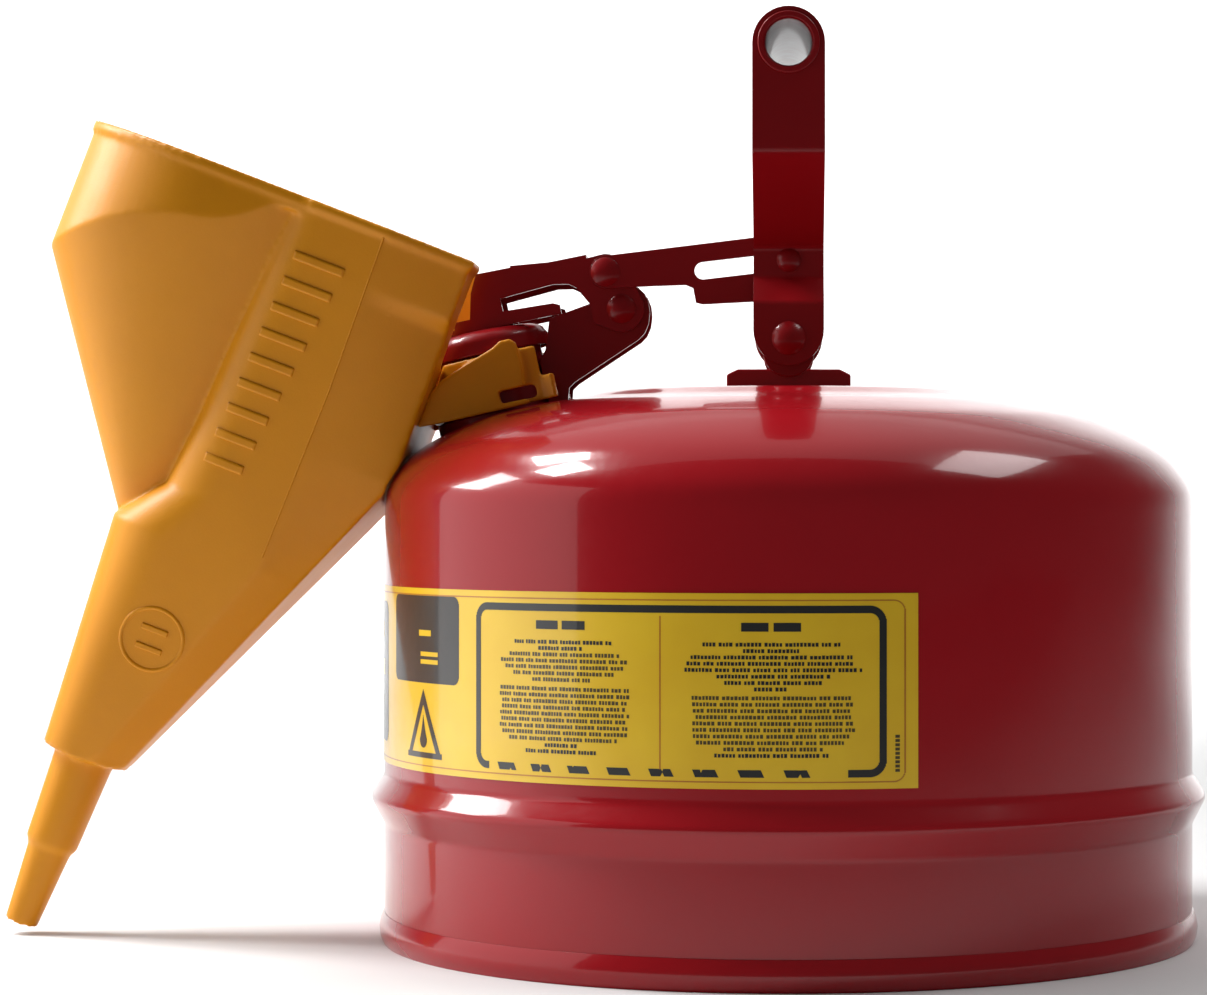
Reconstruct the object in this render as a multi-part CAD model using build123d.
from build123d import *
import os
from math import cos, sin, radians, sqrt, hypot

# Safety gas can, Type I, 2.5 US gallon, with a clip-on funnel.
# Millimetres.  The origin is where the can's axis meets the surface it stands on.
# +Z is up, the spout and the funnel point to -X, and the near side is -Y.

# ---------------------------------------------------------------- driving sizes
BODY_R = 144.7            # outside of the drawn steel wall
HOOP_R = 149.2            # ridge of the rolling hoop: 11 3/4 inch across
HOOP_Z = (41.9, 50.6, 52.4, 59.3)
STEEL = 0.9               # sheet of the body
WALL_TOP = 153.0          # where the shoulder starts
SHOULDER = [(143.9, 160.3), (141.0, 165.4), (136.9, 170.5), (129.9, 176.0), (118.7, 182.0),
            (110.0, 185.6), (101.0, 188.1), (92.0, 190.2), (84.0, 191.7)]
STEP_R, STEP_Z = 76.0, 192.9      # outer edge of the raised crown
CROWN_R, CROWN_Z = 67.0, 195.3
SHOULDER_STEPS = 32        # flats that stand in for the shoulder's curve
SEAM_R, SEAM_TOP = 146.6, 10.6    # double seam of the bottom pan
SEAM_HEM = 2.0            # foot of the wall inside the seam
PAN_Z = 7.0               # the pan is recessed into the seam

LABEL_Z = (64.5, 126.5)
LABEL_HALF = 106.5        # degrees each side of the spout direction
LABEL_THICK = 0.3

TILT = 12.0               # spout axis leans to the funnel side
SPOUT = Plane(origin=(-103.0, 0, 180.3), x_dir=(cos(radians(TILT)), 0, sin(radians(TILT))),
              z_dir=(-sin(radians(TILT)), 0, cos(radians(TILT))))
NECK_R, NECK_BORE = 19.85, 18.65
LIP_R, LIP_W = 20.6, 32.5         # rolled lip, and its height along the spout axis
WELD_R, WELD_TOP = 22.4, 7.5      # bead round the neck's foot
LID_R, LID_SHEET = 23.3, 1.0
SKIRT_W, LID_TOP_W = 28.3, 37.2

HINGE = (-59.7, 224.6)            # X and Z of the lid hinge
HINGE_PIN_R = 2.4
BRACKET_Y = (10.0, 12.0)          # inner and outer faces of the fixed cheeks
LEVER_Y = (12.6, 14.6)            # inner and outer faces of the lever's cheeks
LINK_PIVOT = (-65.2, 237.6)
LINK_PIN_R = 2.5
LINK_Y = (15.2, 17.2)
FIT = 0.06                        # radial running clearance of every pivot

HANDLE = (0.0, 213.4)             # X and Z of the bail pivots
PIVOT_R = 3.0
STRAP_W, STRAP_T = 24.9, 2.6
STRAP_LINE = [(29.0, 202.0), (29.0, 226.0), (21.6, 235.5), (21.6, 246.0), (65.0, 275.0), (65.0, 326.0)]
STRAP_FOOT_Z, GRIP_Z = 216.3, 312.4
GRIP_R, GRIP_BORE, GRIP_HALF = 9.2, 8.0, 65.0
DRIVE_Z = 241.5
EAR_Y = (23.6, 25.6)
EAR_W = 18.4
SADDLE_X, SADDLE_Y, SADDLE_TOP = 22.0, 23.6, 202.7

RIM_TILT = 21.0                   # the funnel's rim leans down to the can
RIM_FRONT = (-248.0, 292.2)       # X and Z of the rim's front edge
FUNNEL_WALL = 2.0
LOBE_R = 53.4                     # round front of the bowl, slightly narrower than the channel behind it
LOBE_BACK = 118.0
BOWL_BACK = 148.5
LOBE_CREASE, LOBE_END = 6.0, 128.5   # depths where the front lobe starts to taper and ends
BOWL_END = 213.8
NOZZLE_AT = 76.0
NOZZLE = [(213.8, 10.95), (248.5, 9.4), (251.0, 7.9), (279.5, 5.9)]   # depth below the rim, radius
NOZZLE_WALL = 1.6
CAN_GAP = 1.0                     # between the funnel and the can's shoulder
COLLAR_R = (21.2, 23.7)
COLLAR_W = (8.0, 27.5)
COLLAR_ARM = 19.0
NOTCH_HALF = 27.0

rim_c, rim_s = cos(radians(RIM_TILT)), sin(radians(RIM_TILT))
FUNNEL = Plane(origin=(RIM_FRONT[0], 0, RIM_FRONT[1]), x_dir=(rim_c, 0, -rim_s), z_dir=(rim_s, 0, rim_c))

NEAR, FAR = -1, 1


# ---------------------------------------------------------------- helpers
def turned(points):
    """A solid turned about Z from a closed outline of (radius, height) points."""
    outline = Polyline(*[(r, 0, z) for r, z in points], close=True)
    return revolve(make_face(outline), Axis.Z)


def side_plate(points, y_from, y_to, holes=()):
    """A flat plate with an outline in X and Z; a hole is (x, z, radius)."""
    low, high = min(y_from, y_to), max(y_from, y_to)
    plate = extrude(Plane.XZ.offset(-high) * make_face(Polyline(*points, close=True)), high - low)
    for x, z, radius in holes:
        plate -= cross_pin(x, z, radius, low - 1, high + 1)
    return plate


def cross_pin(x, z, radius, y_from, y_to):
    """A cylinder along Y."""
    low, high = min(y_from, y_to), max(y_from, y_to)
    return Plane(origin=(x, high, z), z_dir=(0, -1, 0)) * Cylinder(
        radius, high - low, align=(Align.CENTER, Align.CENTER, Align.MIN))


def dome_head(x, z, radius, height, y_face, side):
    """A domed rivet head that stands off a face at y_face, outwards on the given side."""
    ball_r = (radius ** 2 + height ** 2) / (2 * height)
    ball = Pos(x, y_face + side * (height - ball_r), z) * Sphere(ball_r)
    return ball & cross_pin(x, z, radius, y_face, y_face + side * (height + 1))


def arc_points(centre, radius, start, end, count):
    """Points on an arc in X and Z, angles in degrees."""
    steps = [radians(start + (end - start) * i / (count - 1)) for i in range(count)]
    return [(centre[0] + radius * cos(a), centre[1] + radius * sin(a)) for a in steps]


def upright(plane, radius, low, high, inner=0.0):
    """A cylinder or tube along a plane's normal, between two heights."""
    body = Cylinder(radius, high - low, align=(Align.CENTER, Align.CENTER, Align.MIN))
    if inner:
        body -= Cylinder(inner, high - low, align=(Align.CENTER, Align.CENTER, Align.MIN))
    return plane * Pos(0, 0, low) * body


# ---------------------------------------------------------------- can body
def shoulder_curve(inset):
    """The drawn shoulder, as a spline from the wall to the crown's edge."""
    line = [(BODY_R, WALL_TOP)] + SHOULDER + [(STEP_R, STEP_Z)]
    moved = []
    for i, (r, z) in enumerate(line):
        before, after = line[max(i - 1, 0)], line[min(i + 1, len(line) - 1)]
        run, rise = after[0] - before[0], after[1] - before[1]
        size = hypot(run, rise)
        moved.append((r - inset * rise / size, z + inset * run / size))
    moved[0] = (BODY_R - inset, WALL_TOP)
    return Spline(*[(r, 0, z) for r, z in moved], tangents=[(0, 0, 1), (-1, 0, 0.19)])


def body_outline(inset):
    """Points (radius, height) from the foot of the wall up to the can's axis."""
    low, ridge_low, ridge_high, high = HOOP_Z
    wall = [(BODY_R, SEAM_HEM), (BODY_R, low), (HOOP_R, ridge_low), (HOOP_R, ridge_high), (BODY_R, high)]
    curve = shoulder_curve(inset)
    shoulder = [curve @ (i / SHOULDER_STEPS) for i in range(SHOULDER_STEPS + 1)]
    crown_z = CROWN_Z - inset
    return ([(r - inset, z) for r, z in wall] + [(p.X, p.Z) for p in shoulder]
            + [(CROWN_R, crown_z), (0, crown_z + 0.8)])


def filled_body(inset):
    return turned(body_outline(inset) + [(0, SEAM_HEM)])


def can_body():
    """Drawn steel wall, shoulder and crown in one piece, pierced for the neck."""
    shell = turned(body_outline(0) + body_outline(STEEL)[::-1])
    return shell - upright(SPOUT, NECK_R, -20, 30)


def bottom_pan():
    """Recessed bottom with the rolled seam that grips the wall."""
    inner = BODY_R - STEEL
    return turned([(0, PAN_Z), (inner - 4, PAN_Z), (inner - 1.2, PAN_Z - 3), (inner - 1.2, 1.0),
                   (inner + 0.2, 0), (BODY_R + 0.6, 0), (SEAM_R - 0.3, 2.4), (SEAM_R, 5.3),
                   (SEAM_R - 0.6, 8.4), (BODY_R + 0.35, SEAM_TOP), (BODY_R, SEAM_TOP), (BODY_R, SEAM_HEM),
                   (inner, SEAM_HEM), (inner, PAN_Z + 4.0), (inner - 1.0, PAN_Z + 4.0), (inner - 4, PAN_Z + 1.0),
                   (0, PAN_Z + 1.0)])


def body_label():
    """Printed sticker, wrapped round the spout side."""
    ring = turned([(BODY_R, LABEL_Z[0]), (BODY_R + LABEL_THICK, LABEL_Z[0]),
                   (BODY_R + LABEL_THICK, LABEL_Z[1]), (BODY_R, LABEL_Z[1])])
    reach = 2 * BODY_R
    wedge = [(0, 0)] + [(reach * cos(a), reach * sin(a)) for a in (radians(LABEL_HALF * s - 180)
                                                                   for s in (1, 0.5, 0, -0.5, -1))]
    return ring & extrude(make_face(Polyline(*wedge, close=True)), 200)


# ---------------------------------------------------------------- spout
def spout_neck():
    tube = SPOUT * turned([(NECK_BORE, -9), (NECK_R, -9), (NECK_R, LIP_W - 2.6), (LIP_R, LIP_W - 2.0),
                           (LIP_R, LIP_W - 0.5), (LIP_R - 0.5, LIP_W), (NECK_BORE, LIP_W)])
    return tube - filled_body(STEEL)


def neck_base_ring():
    """Weld bead where the neck meets the dome."""
    ring = SPOUT * turned([(NECK_R, -12), (WELD_R, -12), (WELD_R, WELD_TOP - 0.5), (WELD_R - 0.5, WELD_TOP),
                           (NECK_R, WELD_TOP)])
    return ring - filled_body(-0.03)


def flame_arrester():
    """Metal cup of the flame screen, hung in the neck by its flange."""
    cup_r, flange_w = 15.2, 29.0
    cup = SPOUT * turned([(cup_r - 0.8, flange_w), (NECK_BORE, flange_w), (NECK_BORE, flange_w - 0.9),
                          (cup_r, flange_w - 0.9), (cup_r, -38), (0, -38), (0, -37.2), (cup_r - 0.8, -37.2)])
    rows, around, slot = 5, 10, 3.2
    for row in range(rows):
        for i in range(around):
            turn = 360 * (i + 0.5 * (row % 2)) / around
            cup -= SPOUT * Rot(0, 0, turn) * Pos(cup_r, 0, -30 + 11 * row) * Box(4, slot, 2 * slot)
    return cup


def arrester_ring():
    """Spring ring that keeps the flame screen in the neck."""
    return SPOUT * turned([(16.9, 29.0), (NECK_BORE, 29.0), (NECK_BORE, 30.4), (17.3, 30.4), (16.9, 30.0)])


# ---------------------------------------------------------------- lid, lever and link
def bracket_cheek(side):
    outline = [(-85.5, 221.3), (-71.3, 226.5), (-62.0, 232.6), (-57.0, 233.0), (-53.8, 232.4), (-51.3, 230.0),
               (-50.0, 226.8), (-49.6, 223.2), (-50.1, 219.2), (-51.5, 215.9), (-53.6, 213.7), (-76.3, 198.6),
               (-78.4, 196.6), (-79.2, 188.0), (-84.9, 188.0), (-89.0, 206.0), (-87.0, 210.0)]
    plate = side_plate(outline, side * BRACKET_Y[0], side * BRACKET_Y[1], [(*HINGE, HINGE_PIN_R)])
    return plate - upright(SPOUT, NECK_R, -20, 40)


def hinge_bracket():
    """Fixed U bracket, welded to the neck and the dome."""
    web = SPOUT * Pos(NECK_R + 1.0, 0, 14.5) * Box(2.0, 2 * BRACKET_Y[0], 19)
    foot = SPOUT * Pos(NECK_R + 3.6, 0, 8.6) * Box(5.2, 2 * BRACKET_Y[0], 1.8)
    bracket = bracket_cheek(NEAR) + bracket_cheek(FAR) + web + foot
    return bracket - filled_body(0) - upright(SPOUT, WELD_R, -20, WELD_TOP)


def hinge_pin():
    """Domed pin through both cheeks; the lever turns on it."""
    head_r, head_h = 5.2, 2.2
    y_end = LEVER_Y[1] + 0.1
    pin = cross_pin(*HINGE, HINGE_PIN_R, -y_end, y_end)
    for side in (NEAR, FAR):
        pin += dome_head(*HINGE, head_r, head_h, side * y_end, side)
    return pin


def lid_spring():
    """Torsion spring round the hinge pin: outer shape of the coil, with its two legs."""
    coil = cross_pin(*HINGE, 5.2, -8.6, 8.6) - cross_pin(*HINGE, 3.7, -9, 9)
    wire = 0.75
    down = cross_leg((HINGE[0], HINGE[1] - 4.4), (-81.0, 209.5), wire, 7.8)
    up = cross_leg((HINGE[0], HINGE[1] + 4.4), (-75.5, 231.5), wire, -7.8)
    return coil + down + up


def cross_leg(start, end, radius, y):
    """A straight wire in a plane across Y."""
    run = (end[0] - start[0], 0, end[1] - start[1])
    length = hypot(run[0], run[2])
    return Plane(origin=(start[0], y, start[1]), z_dir=run) * Cylinder(
        radius, length, align=(Align.CENTER, Align.CENTER, Align.MIN))


def lever_cheek(side):
    outline = [(-119.2, 215.1), (-119.2, 219.5), (-113.7, 220.7), (-113.4, 230.0), (-111.6, 236.9),
               (-99.4, 239.3), (-72.2, 242.6)]
    outline += arc_points(LINK_PIVOT, 6.6, 110, 10, 7)
    outline += arc_points(HINGE, 8.2, 35, -120, 9)
    outline += [(-69.5, 219.5), (-71.1, 226.5), (-75.6, 232.0), (-78.6, 233.4), (-84.1, 233.3),
                (-102.9, 228.2), (-101.9, 223.7), (-84.1, 226.6), (-81.6, 226.0), (-81.0, 222.9)]
    holes = [(*HINGE, HINGE_PIN_R + FIT)]
    if side == NEAR:
        holes.append((*LINK_PIVOT, LINK_PIN_R + FIT))
    return side_plate(outline, side * LEVER_Y[0], side * LEVER_Y[1], holes)


def trigger_lever():
    """Stamped lever: two windowed cheeks, lid plate, front wall and thumb flange."""
    reach = LEVER_Y[1]
    lever = lever_cheek(NEAR) + lever_cheek(FAR)
    lid_plate = SPOUT * Pos(-0.9, 0, LID_TOP_W + 0.9) * Box(27.0, 2 * reach, 1.8)
    front = side_plate([(-113.7, 220.7), (-111.9, 220.7), (-111.6, 230.0), (-110.0, 236.2), (-111.6, 236.9),
                        (-113.4, 230.0)], -reach, reach)
    thumb = side_plate([(-99.4, 238.0), (-72.2, 241.4), (-72.2, 243.9), (-85.6, 241.2), (-99.4, 239.9)],
                       -reach, reach)
    lever = lever + lid_plate + front + thumb
    return lever - upright(SPOUT, 2.4, 30, 45)


def lid_cap():
    """Pressed steel cap that closes the spout."""
    top, skirt, inner = LID_TOP_W, SKIRT_W, LID_R - LID_SHEET
    outer = [(2.4, top), (16.0, top), (19.6, top - 0.6), (21.9, top - 2.0), (LID_R, top - 4.6), (LID_R, skirt)]
    under = [(inner, skirt), (inner, top - 4.9), (21.0, top - 2.8), (19.2, top - 1.6), (16.0, top - 1.0),
             (2.4, top - 1.0)]
    return SPOUT * turned(outer + under)


def lid_gasket():
    low, high = LIP_W + 0.05, LID_TOP_W - 1.0
    return SPOUT * turned([(6.0, low), (21.6, low), (21.6, low + 0.5), (20.8, high - 1.8), (19.0, high - 0.65),
                           (16.0, high), (6.0, high)])


def lid_rivet():
    """Rivet that fastens the cap under the lever."""
    shank, head = 2.4, 5.4
    low, high = LID_TOP_W - 1.0, LID_TOP_W + 1.8
    return SPOUT * turned([(0, low - 1.4), (head, low - 1.4), (head, low), (shank, low), (shank, high),
                           (head, high), (head - 0.8, high + 1.2), (head - 2.6, high + 1.9), (0, high + 2.2)])


def link_rivet():
    """Rivet that joins the link to the lever's near cheek."""
    inner_y, outer_y = -LEVER_Y[0], -LINK_Y[1]
    pin = cross_pin(*LINK_PIVOT, LINK_PIN_R, inner_y + 0.05, outer_y - 0.05)
    pin += cross_pin(*LINK_PIVOT, 3.8, inner_y + 0.05, inner_y + 1.2)
    return pin + dome_head(*LINK_PIVOT, 5.2, 1.7, outer_y - 0.05, NEAR)


def link_bar():
    """Slotted pull link between the bail and the lever."""
    outline = arc_points(LINK_PIVOT, 5.7, 100, 268, 9)
    outline += [(-36.6, 232.9), (-34.0, 231.8), (-33.0, 226.6), (-30.6, 226.0), (4.0, 227.8), (8.0, 231.6),
                (9.0, 247.0), (5.4, 252.0), (-12.7, 249.8)]
    plate = side_plate(outline, -LINK_Y[0], -LINK_Y[1], [(*LINK_PIVOT, LINK_PIN_R + FIT)])
    slot_left, slot_right, half = (-30.4, 238.0), (0.2, 241.6), 3.1
    run = (slot_right[0] - slot_left[0], slot_right[1] - slot_left[1])
    size = hypot(*run)
    across = (-run[1] / size * half, run[0] / size * half)
    slot = side_plate([(slot_left[0] + across[0], slot_left[1] + across[1]),
                       (slot_right[0] + across[0], slot_right[1] + across[1]),
                       (slot_right[0] - across[0], slot_right[1] - across[1]),
                       (slot_left[0] - across[0], slot_left[1] - across[1])], -14, -19)
    for end in (slot_left, slot_right):
        slot += cross_pin(*end, half, -14, -19)
    return plate - slot


# ---------------------------------------------------------------- bail handle
def handle_saddle():
    """Pressed bridge, welded on the crown, that carries the two ears."""
    low = Rectangle(2 * SADDLE_X, 2 * SADDLE_Y)
    high = Rectangle(2 * SADDLE_X - 8, 2 * SADDLE_Y)
    outer = extrude(Pos(0, 0, 190) * low, 200.8 - 190)
    outer += loft([Pos(0, 0, 200.8) * low, Pos(0, 0, SADDLE_TOP) * high])
    hollow = Pos(0, 0, 190) * Box(2 * SADDLE_X - 5, 2 * SADDLE_Y - 5, 2 * (SADDLE_TOP - 2.2 - 190))
    tails = cross_pin(*HANDLE, 11.2, -SADDLE_Y - 1, SADDLE_Y + 1)
    return outer - hollow - filled_body(0) - tails


def ear(side):
    foot_z = 199.8 + EAR_W / 2
    top = [(EAR_W / 2, 214.5), (6.5, 220.5), (-6.5, 220.5), (-EAR_W / 2, 214.5)]
    outline = arc_points((0, foot_z), EAR_W / 2, 180, 360, 13) + top
    return side_plate(outline, side * EAR_Y[0], side * EAR_Y[1], [(*HANDLE, PIVOT_R + FIT)])


def handle_ears():
    return Compound(children=[ear(NEAR), ear(FAR)])


def pivot_rivet(side):
    tail, face = EAR_Y[0] - 0.05, STRAP_LINE[0][0] + 0.05
    pin = cross_pin(*HANDLE, PIVOT_R, side * (tail - 1.5), side * face)
    return pin + dome_head(*HANDLE, 6.0, 2.8, side * face, side)


def pivot_rivets():
    """Both shoulder rivets of the bail; the saddle's edge is notched for their tails."""
    return Compound(children=[pivot_rivet(NEAR), pivot_rivet(FAR)])


def pivot_washers():
    low, high = EAR_Y[1] + 0.1, STRAP_LINE[0][0] - STRAP_T - 0.1
    rings = [cross_pin(*HANDLE, 7.0, side * low, side * high) - cross_pin(*HANDLE, PIVOT_R, side * 20, side * 30)
             for side in (NEAR, FAR)]
    return Compound(children=rings)


def strap(side):
    """One leg of the bail, bent from flat bar."""
    path = FilletPolyline(*STRAP_LINE, radius=3.6)
    section = make_face(offset(path, STRAP_T, side=Side.LEFT))
    leg = extrude(Plane.YZ.offset(-STRAP_W / 2) * section, STRAP_W)
    if side == NEAR:
        leg = mirror(leg, Plane.XZ)
    half = STRAP_W / 2
    shape = arc_points((0, STRAP_FOOT_Z), half, 180, 360, 21) + arc_points((0, GRIP_Z), half, 0, 180, 21)
    leg &= side_plate(shape, -80, 80)
    leg -= cross_pin(*HANDLE, PIVOT_R + FIT, side * 20, side * 40)
    return leg - cross_pin(0, GRIP_Z, GRIP_R, side * 50, side * 80)


def handle_strap_near():
    return strap(NEAR) - cross_pin(0, DRIVE_Z, 2.6, -10, -30)


def handle_strap_far():
    return strap(FAR)


def grip_tube():
    """Round tube grip, rolled over outside each strap."""
    end = GRIP_HALF
    lip = end + 1.6
    outline = [(GRIP_BORE, -end), (GRIP_BORE + 0.6, -lip), (GRIP_R + 1.3, -lip), (GRIP_R + 1.5, -end - 0.6),
               (GRIP_R + 1.2, -end), (GRIP_R, -end), (GRIP_R, end), (GRIP_R + 1.2, end),
               (GRIP_R + 1.5, end + 0.6), (GRIP_R + 1.3, lip), (GRIP_BORE + 0.6, lip), (GRIP_BORE, end)]
    return Plane(origin=(0, 0, GRIP_Z), x_dir=(1, 0, 0), z_dir=(0, -1, 0)) * turned(outline)


def drive_rivet():
    """Rivet of the near strap that works in the link's slot."""
    outer, inner = STRAP_LINE[2][0], LINK_Y[1] + 0.5
    shank = cross_pin(0, DRIVE_Z, 2.6, -inner, -outer)
    return shank + (dome_head(0, DRIVE_Z, 4.3, 2.2, -outer, NEAR) - strap(NEAR))


# ---------------------------------------------------------------- funnel
def depth_face(outline, depth):
    """A flat section of the funnel at a depth below its rim."""
    return FUNNEL * Pos(0, 0, -depth) * outline


def bullet(radius, inset):
    """Round-fronted outline of the bowl's front lobe."""
    side = radius - inset
    front = ThreePointArc((LOBE_R, side), (inset + LOBE_R - radius, 0), (LOBE_R, -side))
    rest = Polyline((LOBE_R, -side), (LOBE_BACK, -side), (LOBE_BACK, side), (LOBE_R, side))
    return make_face(Wire([*front.edges(), *rest.edges()]))


def channel(front, half, corner, part_at, back, back_half, inset):
    """Round-cornered outline of the bowl's back channel, straight across at the back."""
    front, half, back = front + inset, half - inset, back - inset
    corner, back_half = max(corner - inset, 0.4), back_half - 0.7 * inset
    turn = corner * (1 - sqrt(0.5))
    flat = half - corner
    right = ThreePointArc((front, flat), (front + turn, half - turn), (front + corner, half))
    left = ThreePointArc((front + corner, -half), (front + turn, -(half - turn)), (front, -flat))
    rest = Polyline((front + corner, half), (part_at, half), (back, back_half), (back, -back_half),
                    (part_at, -half), (front + corner, -half))
    nose = Line((front, -flat), (front, flat))
    return make_face(Wire([*nose.edges(), *right.edges(), *rest.edges(), *left.edges()]))


CHANNEL = [   # depth, front, half width, corner, part line, back, half width at the back
    (0.0, 80.0, 55.0, 15.0, 118.0, BOWL_BACK, 49.0),
    (22.0, 78.4, 51.2, 16.0, 118.0, BOWL_BACK, 46.0),
    (27.0, 78.0, 50.2, 16.2, 118.0, BOWL_BACK, 40.5),
    (83.0, 75.0, 39.8, 18.0, 118.0, BOWL_BACK, 33.0),
    (111.0, 71.5, 34.6, 19.0, 117.0, 136.5, 27.5),
    (LOBE_END, 56.2, 31.4, 25.0, 115.0, 129.0, 24.0),
    (BOWL_END, 60.5, 15.6, 15.1, 82.0, 91.9, 6.6)]
LOBE_RINGS = [   # depth, centre, half depth, half width
    (LOBE_CREASE, 46.0, 75.3, 58.8),
    (LOBE_END, 68.0, 11.8, 12.0)]


def lobe(inset):
    """Front lobe: straight walls down to a slanting crease, then a cone."""
    rings = [depth_face(Pos(centre, 0) * Ellipse(long - inset, wide - inset), depth)
             for depth, centre, long, wide in LOBE_RINGS]
    cone = loft(rings, ruled=True)
    top = 0.0 if not inset else -1.0
    prism = extrude(depth_face(bullet(LOBE_R, inset), LOBE_END), LOBE_END - LOBE_CREASE)
    upper = extrude(depth_face(bullet(LOBE_R, inset), LOBE_CREASE), LOBE_CREASE - top)
    return (prism & cone) + upper


def channel_body(inset):
    sections = [depth_face(channel(*row[1:], inset), row[0]) for row in CHANNEL]
    body = loft(sections, ruled=True)
    if inset:
        body += extrude(sections[0], 1.0)
    return body


def bowl_solid(inset):
    return lobe(inset) + channel_body(inset) - filled_body(-CAN_GAP - inset)


def rim_band():
    """Proud band round the funnel's mouth."""
    high, proud = 3.4, 1.0
    band = extrude(depth_face(bullet(LOBE_R + proud, 0), high), high)
    return band + extrude(depth_face(channel(*CHANNEL[0][1:], -proud), high), high)


def nozzle(wall):
    """Stepped nozzle, or its bore when a wall is taken off."""
    rows = [(depth, radius - wall) for depth, radius in NOZZLE]
    if wall:
        rows = [(BOWL_END - 4.0, rows[0][1])] + rows[:-1] + [(rows[-1][0] + 1.0, rows[-1][1])]
    outline = [(0, -rows[0][0])] + [(r, -d) for d, r in rows] + [(0, -rows[-1][0])]
    return FUNNEL * Pos(NOZZLE_AT, 0, 0) * turned(outline)


def end_ring():
    outline = [(0, -209.0), (15.5, -209.0), (15.8, -210.5), (15.8, -214.6), (15.4, -215.0), (0, -215.0)]
    return FUNNEL * Pos(NOZZLE_AT + 0.2, 0, 0) * turned(outline)


def spout_notch():
    """Room for the neck below, and for the lid and lever above."""
    low = upright(SPOUT, COLLAR_R[1], COLLAR_W[0], COLLAR_W[1])
    high = upright(SPOUT, NOTCH_HALF, COLLAR_W[1], 100)
    back = SPOUT * Pos(50, 0, COLLAR_W[1] + 36.25) * Box(100, 2 * NOTCH_HALF, 72.5)
    return low + high + back


def funnel_bowl():
    outer = bowl_solid(0) + rim_band() + end_ring() + nozzle(0)
    return outer - bowl_solid(FUNNEL_WALL) - nozzle(NOZZLE_WALL) - spout_notch()


def gusset(side):
    """Side plate that ties the collar to the bowl's back wall."""
    outline = [(-131.0, 189.4), (-122.5, 198.8), (-114.4, 204.1), (-105.2, 209.7), (-102.0, 212.6), (-98.5, 213.3),
               (-96.4, 211.9), (-94.2, 204.1), (-93.2, 194.9), (-91.2, 190.6), (-120.4, 184.0), (-133.0, 181.5)]
    return side_plate(outline, side * COLLAR_R[1], side * (COLLAR_R[1] + 2.4))


def collar_tab(side):
    """Flared end of an arm: it guides the clip on to the neck."""
    inner, outer = COLLAR_R
    start, end, flare = COLLAR_ARM - 0.5, COLLAR_ARM + 5.0, 3.4
    outline = Polyline((start, side * inner), (start, side * outer), (end - 1, side * (outer + flare)),
                       (end, side * (inner + flare)), close=True)
    return SPOUT * Pos(0, 0, COLLAR_W[0]) * extrude(make_face(outline), 8.5)


def funnel_collar():
    """C-shaped clip that slides over the neck from the funnel side."""
    low, high = COLLAR_W
    inner, outer = COLLAR_R
    ring = upright(SPOUT, outer, low, high)
    block = SPOUT * Pos(COLLAR_ARM / 2, 0, (low + high) / 2) * Box(COLLAR_ARM, 2 * outer, high - low)
    bore = upright(SPOUT, inner, low - 1, high + 1)
    gap = SPOUT * Pos(30, 0, (low + high) / 2) * Box(60, 2 * inner, high - low + 2)
    collar = ring + block
    for side in (NEAR, FAR):
        collar += gusset(side)
        collar += collar_tab(side)
    collar = collar - bore - gap
    for side in (NEAR, FAR):
        collar -= SPOUT * Pos(10.0, side * (outer + 0.5), 11.75) * Box(13, 7, 4.5)
    return collar - bowl_solid(0)


PARTS = [can_body, bottom_pan, body_label, spout_neck, neck_base_ring, flame_arrester, arrester_ring,
         hinge_bracket, hinge_pin, lid_spring, trigger_lever, lid_cap, lid_gasket, lid_rivet, link_rivet, link_bar,
         handle_saddle, handle_ears, pivot_rivets, pivot_washers, handle_strap_near, handle_strap_far, grip_tube,
         drive_rivet, funnel_bowl, funnel_collar]

os.makedirs("parts", exist_ok=True)
for part in PARTS:
    shape = part()
    export_step(shape, f"parts/{part.__name__}.step")
    print(part.__name__, len(shape.solids()), round(shape.volume))
